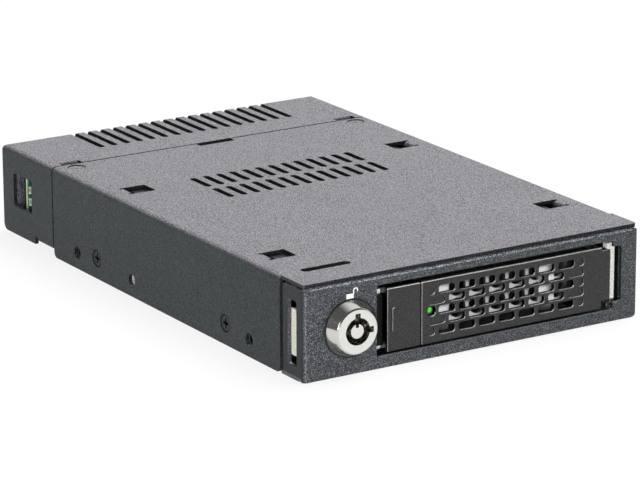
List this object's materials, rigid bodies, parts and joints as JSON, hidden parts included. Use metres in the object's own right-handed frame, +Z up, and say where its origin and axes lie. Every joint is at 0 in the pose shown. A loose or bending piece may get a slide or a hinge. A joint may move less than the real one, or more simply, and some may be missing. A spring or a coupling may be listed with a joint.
{
  "type": "solid state drive mobile rack",
  "caption": "Flat metal drive bay enclosure with a sliding tray for one small drive, a grille lever door, a push button and a round key lock at its front.",
  "frame": {"origin": "middle of the underside of the box round the whole part", "axes": "+X to the right seen from the front, +Y from the front panel to the rear sockets, +Z up"},
  "size_m": [0.1016, 0.1638, 0.0254],
  "materials": {
    "cover_coat": "fine matt grey powder coat",
    "panel_coat": "speckled dark grey powder coat",
    "zinc_sheet": "bright zinc-plated sheet",
    "ivory_plastic": "pale ivory moulding",
    "lock_chrome": "polished chrome",
    "black_plastic": "satin black moulding",
    "black_rubber": "matt black rubber",
    "clear_plastic": "clear moulded plastic",
    "green_light": "clear lens of a small green light",
    "board_green": "green solder resist",
    "steel": "bright steel",
    "black_screw": "blackened steel"
  },
  "bodies": {
    "chassis": {"bottom_chassis": "panel_coat", "top_cover": "cover_coat", "rear_cover": "cover_coat", "front_panel": "panel_coat", "left_guide_rail": "black_plastic", "right_guide_rail": "black_plastic", "lock_barrel": "lock_chrome", "lock_gasket": "black_rubber", "lock_clip": "ivory_plastic", "backplane_board": "board_green", "drive_socket": "black_plastic", "data_socket_shell": "zinc_sheet", "data_socket_core": "black_plastic", "power_socket": "black_plastic", "status_led": "green_light", "board_screws": "steel", "side_screws": "black_screw", "top_screws": "black_screw", "rear_screws": "black_screw", "rail_screws": "steel"},
    "tray": {"tray_frame": "zinc_sheet", "button_housing": "black_plastic", "housing_screws": "steel", "light_pipe": "clear_plastic", "hinge_pin": "steel", "button_spring": "steel"},
    "door": {"tray_door": "black_plastic", "eject_hook": "zinc_sheet"},
    "button": {"release_button": "black_plastic"},
    "lock": {"lock_core": "lock_chrome", "lock_cam": "zinc_sheet", "cam_screw": "steel"}
  },
  "joints": [
    {"name": "tray_slide", "type": "slide", "parent": "chassis", "child": "tray", "axis": [0, -1, 0], "range_m": [0, 0.145]},
    {"name": "door_swing", "type": "hinge", "parent": "tray", "child": "door", "pos_m": [0.0392, -0.0739, 0.0127], "axis": [0, 0, 1], "range_deg": [0, 60]},
    {"name": "button_press", "type": "slide", "parent": "tray", "child": "button", "axis": [0, 1, 0], "range_m": [0, 0.0015], "stiffness_N_per_m": 600, "deforming": ["button_spring"]},
    {"name": "lock_turn", "type": "hinge", "parent": "chassis", "child": "lock", "pos_m": [-0.0372, -0.0783, 0.0124], "axis": [0, 1, 0], "range_deg": [0, 90]}
  ]
}
